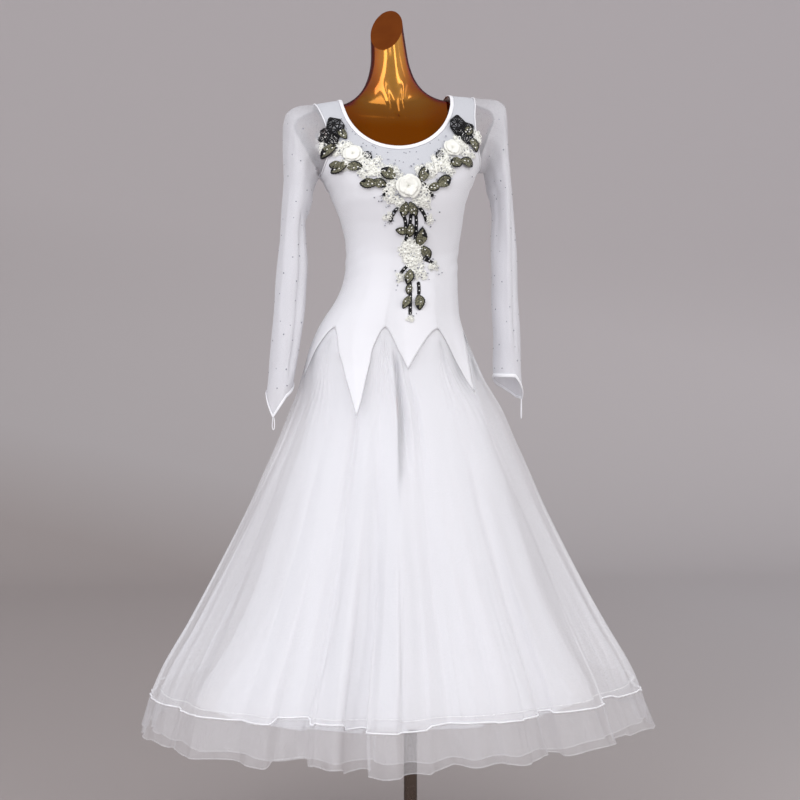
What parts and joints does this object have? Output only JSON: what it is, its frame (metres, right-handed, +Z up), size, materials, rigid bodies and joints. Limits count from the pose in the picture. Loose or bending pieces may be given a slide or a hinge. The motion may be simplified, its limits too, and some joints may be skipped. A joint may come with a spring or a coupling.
{
  "type": "ballroom dance dress on a dress form",
  "caption": "Long-sleeved white ballroom dance dress with a fitted bodice, pointed petals, a full tulle skirt and a braided hem, on a limbless dress form with a pole stand.",
  "frame": {"origin": "middle of the base's underside, on the pole's axis", "axes": "+Z up along the pole, -Y towards the dress's front, +X towards the viewer's right"},
  "size_m": [0.9531, 0.9227, 1.5981],
  "materials": {
    "stretch_cloth": "matt with a soft sheen",
    "mesh_cloth": "sheer, matt",
    "tulle": "sheer, matt",
    "braid": "translucent, satin",
    "applique": "satin",
    "gold": "glossy metallic",
    "steel": "polished dark"
  },
  "bodies": {
    "root": {"applique_centre": "applique", "applique_left": "applique", "applique_right": "applique", "base": "steel", "bodice_back": "stretch_cloth", "bodice_front": "stretch_cloth", "cuff_binding_left": "stretch_cloth", "cuff_binding_right": "stretch_cloth", "finger_loop_left": "stretch_cloth", "finger_loop_right": "stretch_cloth", "form_torso": "gold", "godet_1": "tulle", "godet_2": "tulle", "godet_3": "tulle", "godet_4": "tulle", "godet_5": "tulle", "godet_6": "tulle", "godet_7": "tulle", "godet_8": "tulle", "hem_braid": "braid", "neck_binding": "stretch_cloth", "pole": "steel", "pole_collar": "steel", "sleeve_left": "mesh_cloth", "sleeve_right": "mesh_cloth", "socket": "steel", "underskirt": "tulle", "underskirt_braid": "braid", "yoke_front": "mesh_cloth"}
  },
  "joints": []
}
